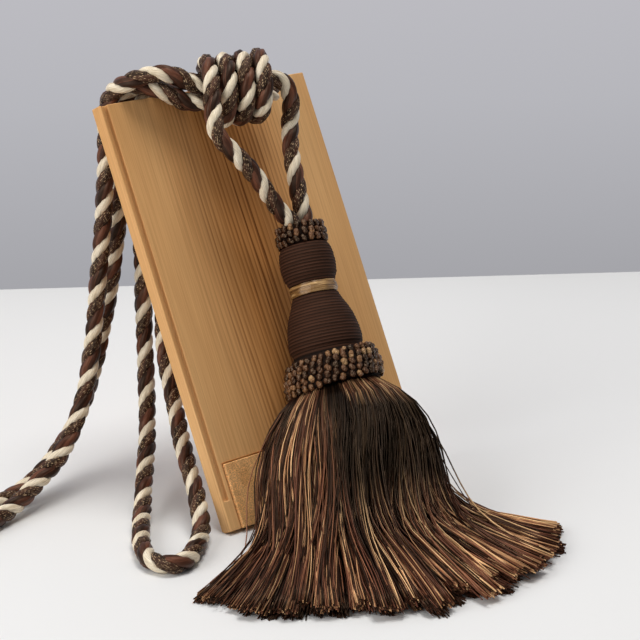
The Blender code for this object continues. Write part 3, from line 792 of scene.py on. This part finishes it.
HEAD_PROFILE = [
    (-0.0060, 0.0192),
    (0.0130, 0.0194),
    (0.0145, 0.0203),
    (0.0190, 0.0206),
    (0.0245, 0.0200),
    (0.0300, 0.0187),
    (0.0350, 0.0168),
    (0.0395, 0.0147),
    (0.0436, 0.0130),
    (0.0440, 0.0121),
    (0.0508, 0.0121),
    (0.0512, 0.0131),
    (0.0550, 0.0147),
    (0.0608, 0.0155),
    (0.0662, 0.0153),
    (0.0704, 0.0143),
    (0.0724, 0.0131),
    (0.0726, 0.0106),
    (0.0800, 0.0106),
]
HEAD_SIDES = 96
HEAD_STEP = 0.00025
TURN_PITCH = 0.00172
TURN_HEIGHT = 0.00036
TURN_ROUND = 0.7
TURN_LEVEL = 0.62
TURN_SPREAD = (-0.55, 0.30)
TURN_UNEVEN = 0.6
# Turns that are counted, and the number of the turn at the head's foot.
TURNS = 80
TURN_AT_FOOT = 8.5
# Heights between which the head is bound.
BOUND = [(0.0125, 0.0434), (0.0514, 0.0722)]


def lathe(name, heights, radius_of, columns, finish, marks_of=None, hole=None, sunk=None):
    """Closed turned form; radius_of(angle, height) gives its surface. With a hole, it is a ring. Its UV
    counts the turns of the wound cord, or is what marks_of(heights) gives."""
    angle = np.linspace(0, 2 * np.pi, columns, endpoint=False)[None, :]
    height = np.asarray(heights)[:, None]
    lower = 0 if sunk is None else sunk(angle)
    outer = head_points(angle, height - lower, radius_of(angle, height))
    rows = len(heights)
    points = [outer.reshape(-1, 3)]
    faces = list(grid_faces(rows, columns))
    edges = np.arange(columns + 1) / columns
    if marks_of is None:
        corners = grid_uv(edges, np.asarray(heights) / TURN_PITCH)
        corners[:, 1] += corners[:, 0]
    else:
        corners = grid_uv(edges, marks_of(np.asarray(heights)))
    uv = [corners]
    if hole is None:
        faces += [list(range(columns - 1, -1, -1)), list(range((rows - 1) * columns, rows * columns))]
        uv.append(np.zeros((2 * columns, 2)))
    else:
        ends = np.array([[heights[0]], [heights[-1]]])
        inner = head_points(angle, ends, np.full((2, columns), hole))
        points.append(inner.reshape(-1, 3))
        base = rows * columns
        i = np.arange(columns)
        j = (i + 1) % columns
        top = (rows - 1) * columns
        for quad in (
            np.stack([i + base, j + base, j, i], axis=1),
            np.stack([i + top, j + top, j + base + columns, i + base + columns], axis=1),
            np.stack([i + base + columns, j + base + columns, j + base, i + base], axis=1),
        ):
            faces += list(quad)
            uv.append(np.zeros((4 * columns, 2)))
    return mesh_object(name, points, faces, [finish], uv)


def make_head(finish):
    """The bound mould: every turn of the fine cord stands out."""
    low = np.array(HEAD_PROFILE)
    heights = [low[0, 0]]
    for (start, _), (end, _) in zip(low, low[1:]):
        count = max(1, round((end - start) / HEAD_STEP))
        heights += list(start + (end - start) * (np.arange(count) + 1) / count)
    wobble = rng.uniform(*TURN_SPREAD, TURNS)

    def radius(angle, height):
        plain = np.interp(height, low[:, 0], low[:, 1])
        turns = height / TURN_PITCH + angle / (2 * np.pi)
        ridge = np.abs(np.cos(np.pi * turns)) ** TURN_ROUND - TURN_LEVEL
        bound = sum((height > foot) & (height < top) for foot, top in BOUND)
        own = wobble[np.clip(np.floor(turns + TURN_AT_FOOT).astype(int), 0, TURNS - 1)]
        return plain + bound * TURN_HEIGHT * (ridge + own * TURN_UNEVEN)

    piece = lathe("wound_turns", heights, radius, HEAD_SIDES, finish)
    stands_for(piece, "wound_head")


BAND_FOOT = 0.0443
BAND_TOP = 0.0505
BAND_ROWS = 26
BAND_SIDES = 72
BAND_RADIUS = 0.0133
BAND_CROWN = 0.0005
BAND_HOLE = 0.0124
BAND_THREAD = 0.00085
THREAD_PROUD = 0.00010


def make_band(finish):
    """Satin threads wound flat round the neck, a little slack."""
    heights = np.linspace(BAND_FOOT, BAND_TOP, BAND_ROWS)

    def radius(angle, height):
        share = (height - heights[0]) / (heights[-1] - heights[0])
        crown = BAND_RADIUS - BAND_CROWN * np.abs(2 * share - 1) ** 3
        lie = height / BAND_THREAD + 0.6 * np.sin(angle * 2)
        threads = THREAD_PROUD * np.cos(2 * np.pi * lie)
        slack = 0.00022 * np.sin(angle * 5 + height * 900) + 0.00012 * np.sin(angle * 11 - height * 500)
        return crown + threads + slack

    piece = lathe("band_threads", heights, radius, BAND_SIDES, finish,
                  marks_of=lambda h: (h - h[0]) / BAND_THREAD, hole=BAND_HOLE)
    stands_for(piece, "neck_band")


# ---- ruffs

LOWER_RUFF = dict(low=-0.0065, high=0.0112, foot=0.0268, top=0.0236, swell=0.0014, hole=0.0197,
                  rows=5, columns=36, slant=0.22, droop=0.0040, tone=1.18)
UPPER_RUFF = dict(low=0.0730, high=0.0846, foot=0.0128, top=0.0122, swell=0.0008, hole=0.0115,
                  rows=3, columns=20, slant=0.22, droop=0.0, tone=0.85)
DROOP_TOWARDS = math.radians(136)
GROUND_ROWS = 9
GROUND_SIDES = 72
GROUND_EDGE = 0.0004
GROUND_SUNK = 0.0009
GROUND_MARKS = 500
KNOT_RINGS = 7
KNOT_SIDES = 12
KNOT_WELD = 0.00002
# Spreads of a knot's height and angle, its tilt, and the shape of the spread of its tone.
KNOT_HEIGHT = 0.00025
KNOT_ANGLE = 0.05
KNOT_TILT = (0.6, 0.35)
KNOT_TONE = (1.3, 2.0)
# A knot's two lobes: how far they lie from its middle and to which side of its tilt, how deep they are
# sunk and one above the other, the spreads of their sizes, their grooves, and the spreads of their tilt
# and tone.
LOBE_AWAY = 0.34
LOBE_TURN = 1.2
LOBE_SUNK = 0.0001
LOBE_PROUD = (-0.0001, 0.0003)
LOBE_WIDE = (0.58, 0.76)
LOBE_TALL = (0.78, 0.98)
LOBE_DEEP = (0.8, 1.0)
LOBE_GROOVE = 0.17
LOBE_TILT = 0.2
LOBE_TONE = 0.12


def ground_marks(heights):
    return heights * GROUND_MARKS


def make_ruff(name, ruff, knots_finish, ground_finish):
    """Dark ground with knots of thin cord in slanting columns, for the ruff's own node."""
    span = ruff["high"] - ruff["low"]
    heights = np.linspace(ruff["low"] + GROUND_EDGE, ruff["high"] - GROUND_EDGE, GROUND_ROWS)

    def outline(height):
        share = (height - ruff["low"]) / span
        return ruff["foot"] + (ruff["top"] - ruff["foot"]) * share + ruff["swell"] * np.sin(np.pi * share)

    def sunk(angle):
        return ruff["droop"] * (1 + np.cos(angle - DROOP_TOWARDS)) / 2

    def ground_radius(angle, height):
        return outline(height) - GROUND_SUNK + 0 * angle

    ground = lathe(name + "_ground", heights, ground_radius, GROUND_SIDES, ground_finish,
                   marks_of=ground_marks, hole=ruff["hole"], sunk=sunk)
    stands_for(ground, name)
    pitch = span / ruff["rows"]
    lat = np.linspace(-0.5, 0.5, KNOT_RINGS + 2)[:, None] * np.pi
    lon = np.linspace(0, 2 * np.pi, KNOT_SIDES, endpoint=False)[None, :]
    side, inward = (np.array(v) for v in head_axes())
    up = np.array(HEAD_UP)
    points, faces, uv = [], [], []
    count = 0
    size = KNOT_SIDES * (KNOT_RINGS + 2)
    for row in range(ruff["rows"]):
        for column in range(ruff["columns"]):
            knot_height = ruff["low"] + pitch * (row + 0.5) + rng.normal(0, KNOT_HEIGHT)
            turned = column + ruff["slant"] * (row + 0.5) + rng.normal(0, KNOT_ANGLE)
            knot_angle = 2 * np.pi * turned / ruff["columns"]
            knot_radius = outline(knot_height)
            wide = np.pi * knot_radius / ruff["columns"]
            knot_tilt = rng.normal(*KNOT_TILT)
            knot_tone = rng.beta(*KNOT_TONE) * ruff["tone"]
            for lobe in (-1, 1):
                away = lobe * LOBE_AWAY * rng.uniform(0.8, 1.2)
                height = knot_height + away * pitch * 0.5 * np.sin(knot_tilt + LOBE_TURN)
                angle = knot_angle + away * wide * np.cos(knot_tilt + LOBE_TURN) / knot_radius
                radius = knot_radius + lobe * rng.uniform(*LOBE_PROUD)
                width = wide * rng.uniform(*LOBE_WIDE)
                tall = pitch * 0.5 * rng.uniform(*LOBE_TALL)
                deep = min(wide, tall) * rng.uniform(*LOBE_DEEP)
                bands = np.cos(3 * lon + 2.2 * lat + rng.uniform(0, 6.3))
                groove = 1.0 + LOBE_GROOVE * bands * np.cos(lat)
                tilt = knot_tilt + rng.normal(0, LOBE_TILT)
                a = np.cos(lat) * np.cos(lon) * groove * width
                b = np.cos(lat) * np.sin(lon) * groove * deep
                c = np.sin(lat) * groove * tall
                a, c = a * np.cos(tilt) - c * np.sin(tilt), a * np.sin(tilt) + c * np.cos(tilt)
                out = side * np.cos(angle) + inward * np.sin(angle)
                along = -side * np.sin(angle) + inward * np.cos(angle)
                middle = head_points(angle, height - sunk(angle), radius - LOBE_SUNK)
                shape = middle + a[..., None] * along + b[..., None] * out + c[..., None] * up
                points.append(shape.reshape(-1, 3))
                quads = grid_faces(KNOT_RINGS + 2, KNOT_SIDES, count * size)
                faces += list(quads)
                tone = float(np.clip(knot_tone + rng.normal(0, LOBE_TONE), 0, 1))
                uv.append(np.tile([tone, rng.uniform()], (4 * len(quads), 1)))
                count += 1
    knots = mesh_object(name + "_knots", points, faces, [knots_finish], uv)
    weld = knots.modifiers.new("weld", "WELD")
    weld.merge_threshold = KNOT_WELD
    stands_for(knots, name)


# ---- skirt

ROOT_AT = -0.0080
FAN_CENTRE = np.array((0.050, -0.020, 0.0))
FAN_RADIUS = 0.132
LOCK_DROP = 0.032
LOCK_BEND = 0.034
LOCK_LIE = 0.052
# Layers of threads, from the top one down: places round the backing, its radius, the flare, the fan's
# directions, the heights where they land and end, how far they reach, their share and lightest tone.
# The lower layers' lightest tones are kept low as painted shade beneath the top layers.
THREAD_LAYERS = [
    dict(first=-110, last=98, radius=0.0228, flare=0.0385, fan_from=194, fan_to=311,
         lands=0.0200, rest=0.0062, reach=0.955, share=0.40, tone=1.00),
    dict(first=-102, last=92, radius=0.0195, flare=0.0340, fan_from=196, fan_to=310,
         lands=0.0150, rest=0.0048, reach=0.945, share=0.23, tone=0.97),
    dict(first=-92, last=86, radius=0.0145, flare=0.0250, fan_from=198, fan_to=309,
         lands=0.0105, rest=0.0036, reach=0.930, share=0.14, tone=0.60),
    dict(first=228, last=104, radius=0.0165, flare=0.0020, fan_from=203, fan_to=307,
         lands=0.0050, rest=0.0022, reach=0.935, share=0.10, tone=0.42),
    dict(first=222, last=106, radius=0.0215, flare=0.0010, fan_from=205, fan_to=306,
         lands=0.0016, rest=0.0008, reach=0.940, share=0.13, tone=0.42),
]
THREADS = 6600
THREAD_STEPS = 14
THREAD_RADIUS = 0.00038
THREAD_SIDES = 3
THREAD_PIECES = 3
FLOOR_CLEAR = 0.00005
END_LOWERS = 0.55
LANDS_AT = 0.72
WAVE_TURNS = 1.6
# The threads' colours: how much lighter their tones are at the fan's right end than at its left, the left
# share of the fan where no root gets painted shade, over how much of it that fades, and how far down the
# painted shade is.
TONE_TURN = 0.24
TONE_MIDDLE = 0.48
LIT_SIDE = 0.38
LIT_BLEND = 0.16
LIT_ALONG = 0.62
# Spreads of what the threads of a clump share. The two top layers have one set of clumps, the lower ones
# another.
CLUMPS = 46
CLUMP_MIXED = 0.5
CLUMP_PULL = (0.40, 1.05)
CLUMP_SHIFT = 0.010
CLUMP_REACH = 0.0040
CLUMP_RISE = 0.0010
CLUMP_FLARE = (-0.0012, 0.0016)
CLUMP_WAVE = 0.0042
CLUMP_TONE = 0.05
# Spreads of each thread on its own, and of the few that stray.
OWN_ROOT = (-0.0016, 0.0010)
OWN_FLARE = 0.0022
OWN_DROP = (0.88, 1.10)
OWN_SHIFT = 0.006
OWN_REACH = 0.0010
OWN_RISE = 0.0016
OWN_LIE = 0.006
OWN_LANDING = (-0.0010, 0.0016)
OWN_BEND = 0.004
OWN_WAVE = (0.0002, 0.0016)
OWN_TURNS = (4, 10)
OWN_THICK = (0.8, 1.2)
STRAY_SHARE = 0.025
STRAY_FLARE = (-0.004, 0.010)
STRAY_SHIFT = 0.028
STRAY_REACH = 0.002


def thread_lines(count):
    """Centre lines of all the threads, as an array of threads by steps by 3, with their directions across
    the fan, their tones, and how far along the painted shade below their roots each one starts. Neighbours
    gather in clumps, which wave and end together."""
    shares = [layer["share"] for layer in THREAD_LAYERS]
    choice = rng.choice(len(THREAD_LAYERS), size=count, p=shares)
    pick = {key: np.array([layer[key] for layer in THREAD_LAYERS])[choice] for key in THREAD_LAYERS[0]}
    place = rng.uniform(0, 1, count)
    stray = rng.uniform(0, 1, count) < STRAY_SHARE
    side, inward = (np.array(v) for v in head_axes())
    up = np.array(HEAD_UP)
    foot = np.array(HEAD_FOOT + SHIFT)
    angle = np.radians(pick["first"] + (pick["last"] - pick["first"]) * place)
    out = -inward * np.cos(angle)[:, None] + side * np.sin(angle)[:, None]
    radius = pick["radius"] + rng.uniform(*OWN_ROOT, count)
    root = foot + up * ROOT_AT + out * radius[:, None]

    clump = np.floor(place * CLUMPS + rng.normal(0, CLUMP_MIXED, count)).astype(int) % CLUMPS
    clump = clump + CLUMPS * (choice > 1)
    kinds = 2 * CLUMPS
    pull = rng.uniform(*CLUMP_PULL, kinds)[clump]
    shift = rng.normal(0, CLUMP_SHIFT, kinds)[clump]
    clump_reach = rng.normal(0, CLUMP_REACH, kinds)[clump]
    clump_rise = rng.normal(0, CLUMP_RISE, kinds)[clump]
    clump_flare = rng.normal(*CLUMP_FLARE, kinds)[clump]
    clump_wave = rng.uniform(-CLUMP_WAVE, CLUMP_WAVE, kinds)[clump]
    clump_tone = rng.normal(0, CLUMP_TONE, kinds)[clump]

    flare = pick["flare"] + clump_flare + rng.normal(0, OWN_FLARE, count)
    flare = flare + stray * rng.uniform(*STRAY_FLARE, count)
    drop = LOCK_DROP * rng.uniform(*OWN_DROP, count)
    knee = root - up * drop[:, None] + out * flare[:, None]
    gathered = place + ((clump % CLUMPS + 0.5) / CLUMPS - place) * pull + shift
    gathered = gathered + rng.normal(0, OWN_SHIFT, count)
    gathered += stray * rng.normal(0, STRAY_SHIFT, count)
    fan_width = pick["fan_to"] - pick["fan_from"]
    fan = np.radians(pick["fan_from"] + fan_width * np.clip(gathered, -0.01, 1.01))
    along = np.stack([np.cos(fan), np.sin(fan), np.zeros(count)], axis=1)
    across = np.stack([-np.sin(fan), np.cos(fan), np.zeros(count)], axis=1)
    reach = FAN_RADIUS * pick["reach"] + clump_reach + rng.normal(0, OWN_REACH, count)
    reach = reach + stray * STRAY_REACH
    tip = FAN_CENTRE + np.array(SHIFT) + along * reach[:, None]
    to_end = np.abs(2 * place - 1) ** 3
    lower = 1 - END_LOWERS * to_end
    tip[:, 2] = pick["rest"] * lower + clump_rise + rng.uniform(-OWN_RISE, OWN_RISE, count)
    tip[:, 2] = np.maximum(tip[:, 2], THREAD_RADIUS)
    lie = LOCK_LIE + rng.normal(0, OWN_LIE, count)
    landing = tip - along * lie[:, None]
    landing[:, 2] = pick["lands"] * lower + rng.uniform(*OWN_LANDING, count)
    landing[:, 2] = np.maximum(landing[:, 2], tip[:, 2])
    bend = (LOCK_BEND + rng.normal(0, OWN_BEND, count)) / lie
    heel = landing + (landing - tip) * bend[:, None]

    share = np.linspace(0, 1, THREAD_STEPS + 1)
    falls = np.clip(share / LANDS_AT, 0, 1)[None, :, None]
    lies = np.clip((share - LANDS_AT) / (1 - LANDS_AT), 0, 1)[None, :, None]
    left = 1 - falls
    lines = (
        root[:, None, :] * left**3
        + knee[:, None, :] * (3 * left**2 * falls)
        + heel[:, None, :] * (3 * left * falls**2)
        + landing[:, None, :] * falls**3
        + (tip - landing)[:, None, :] * lies
    )
    held = np.minimum(share * 3, 1)[None, :]
    own = (rng.uniform(*OWN_WAVE, count) * (1 + stray))[:, None]
    phase = rng.uniform(0, 2 * np.pi, count)[:, None]
    wave = own * np.sin(share[None, :] * rng.uniform(*OWN_TURNS, count)[:, None] + phase)
    wave += clump_wave[:, None] * np.sin(np.pi * share[None, :] * WAVE_TURNS)
    lines += across[:, None, :] * (wave * held)[..., None]
    lines[:, :, 2] += 0.3 * (own * np.cos(share[None, :] * 7 + phase) * held)
    lines[:, :, 2] = np.maximum(lines[:, :, 2], THREAD_RADIUS)
    tones = rng.uniform(0, 1, count) + clump_tone + TONE_TURN * (place - TONE_MIDDLE)
    # Each layer's lightest tone; the lower layers' low ones are painted shade under the top layers.
    tones = np.clip(tones, 0.01, 0.99) * pick["tone"]
    # Threads on the lit side start further along, past the painted shade below the roots.
    lit = np.clip((LIT_SIDE - place) / LIT_BLEND, 0, 1) * LIT_ALONG
    return lines, across, tones, lit


def make_threads(finish):
    """The threads as thin three-sided rods, shared out over a few pieces."""
    lines, across, tones, lit = thread_lines(THREADS)
    sides = THREAD_SIDES
    corner = 2 * np.pi * np.arange(sides) / sides
    steps = THREAD_STEPS + 1
    for part in range(THREAD_PIECES):
        mine = slice(part, THREADS, THREAD_PIECES)
        path = lines[mine]
        count = len(path)
        run = unit(np.gradient(path, axis=1))
        over = unit(np.cross(run, across[mine][:, None, :]))
        side = np.cross(over, run)
        thick = THREAD_RADIUS * rng.uniform(*OWN_THICK, count)[:, None, None]
        ring = (
            path[:, :, None, :]
            + over[:, :, None, :] * (np.cos(corner) * thick)[..., None]
            + side[:, :, None, :] * (np.sin(corner) * thick)[..., None]
        )
        ring[..., 2] = np.maximum(ring[..., 2], FLOOR_CLEAR)
        one = grid_faces(steps, sides)
        caps = [list(range(sides - 1, -1, -1)), list(range((steps - 1) * sides, steps * sides))]
        faces, uv = [], []
        share = np.linspace(0, 1, steps)
        own, clear = tones[mine], lit[mine]
        block = grid_uv(np.zeros(sides + 1), share)
        for i in range(count):
            base = i * sides * steps
            faces += list(one + base)
            faces += [[c + base for c in cap] for cap in caps]
            mark = block.copy()
            mark[:, 0] = own[i]
            # Moves v past the painted shade below the roots for threads on the lit side.
            mark[:, 1] += clear[i]
            uv += [mark, np.tile([own[i], 1.0], (2 * sides, 1))]
        points = [ring.reshape(-1, 3)]
        piece = mesh_object(f"skirt_threads_{part + 1}", points, faces, [finish], uv)
        stands_for(piece, "skirt")


BACKING_HEIGHTS = [-0.0100, -0.0096, -0.0073, -0.0069]
BACKING_RADII = [0.0200, 0.0238, 0.0240, 0.0236]
BACKING_SIDES = 64


def make_backing(finish):
    """The round backing that the threads hang from."""
    def radius(angle, height):
        return np.interp(height, BACKING_HEIGHTS, BACKING_RADII) + 0 * angle

    piece = lathe("skirt_backing", BACKING_HEIGHTS, radius, BACKING_SIDES, finish, marks_of=ground_marks)
    stands_for(piece, "skirt")


# ---- stage and light

WORLD_COLOUR = (0.96, 0.98, 1.0, 1.0)
WORLD_STRENGTH = 0.19
# Each light's name, place, target, size, power and colour.
LIGHTS = [
    ("top", (0.08, -0.10, 1.95), (0.02, 0.05, 0.08), 1.00, 21.0, (1.0, 0.985, 0.96)),
    ("left", (-2.10, 0.15, 1.10), (0.0, 0.0, 0.08), 1.85, 36.0, (1.0, 0.99, 0.975)),
]
TABLE_DEPTH = 1.607
WALL_TURN = 0.105
STAGE_SIDE = 3.0
WALL_HEIGHT = 2.0


def area_light(name, place, target, size, power, colour):
    data = bpy.data.lights.new(name, "AREA")
    data.shape = "DISK"
    data.size = size
    data.energy = power
    data.color = colour
    light = bpy.data.objects.new(name, data)
    light.location = place
    light.rotation_euler = (Vector(target) - Vector(place)).to_track_quat("-Z", "Y").to_euler()
    bpy.context.collection.objects.link(light)


def make_stage():
    """A pale table that ends at a plain wall with a painted glow, a little darker towards its foot as
    painted shade.
    """
    view = Vector((math.sin(-VIEW_TURN), math.cos(VIEW_TURN), 0))
    right = Vector((view.y, -view.x, 0))
    middle = Vector((CAMERA_AT.x, CAMERA_AT.y, 0)) + SHIFT
    side = right * STAGE_SIDE
    turn = view * (STAGE_SIDE * WALL_TURN)
    far = middle + view * TABLE_DEPTH
    near = middle - view * STAGE_SIDE
    far_left, far_right = far - turn - side, far + turn + side
    near_left, near_right = near - side, near + side
    high = Vector((0, 0, WALL_HEIGHT))

    table = bpy.data.meshes.new("table_top")
    corners = (far_left, near_left, near_right, far_right)
    table.from_pydata([tuple(c) for c in corners], [], [(0, 1, 2, 3)])
    table.materials.append(table_finish())
    wall = bpy.data.meshes.new("back_wall")
    corners = (far_left, far_right, far_right + high, far_left + high)
    wall.from_pydata([tuple(c) for c in corners], [], [(0, 1, 2, 3)])
    wall.materials.append(wall_finish())
    for mesh in (table, wall):
        piece = bpy.data.objects.new(mesh.name, mesh)
        bpy.context.collection.objects.link(piece)


def make_light():
    world = bpy.data.worlds.new("studio")
    bpy.context.scene.world = world
    world.use_nodes = True
    sky = world.node_tree.nodes["Background"]
    sky.inputs["Color"].default_value = WORLD_COLOUR
    sky.inputs["Strength"].default_value = WORLD_STRENGTH
    for light in LIGHTS:
        area_light(*light)
    bpy.context.scene.view_settings.view_transform = "Standard"


# ---- all

def dress_wood():
    """Wood on the three solids that the scene takes over as they are."""
    finishes = {"board": pine("pine_board"), "back_prop": pine("pine_prop"), "foot_block": end_grain()}
    for name, finish in finishes.items():
        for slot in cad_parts[name].material_slots:
            slot.material = finish


make_camera()
make_rope([strand_cream(), strand_chocolate(), strand_flecked()])
make_head(wound_cord())
make_band(gold_satin())
knots = ruff_knots()
ground = dark_ground()
make_ruff("lower_ruff", LOWER_RUFF, knots, ground)
make_ruff("upper_ruff", UPPER_RUFF, knots, ground)
make_backing(ground)
make_threads(skirt_thread())
dress_wood()
make_stage()
make_light()
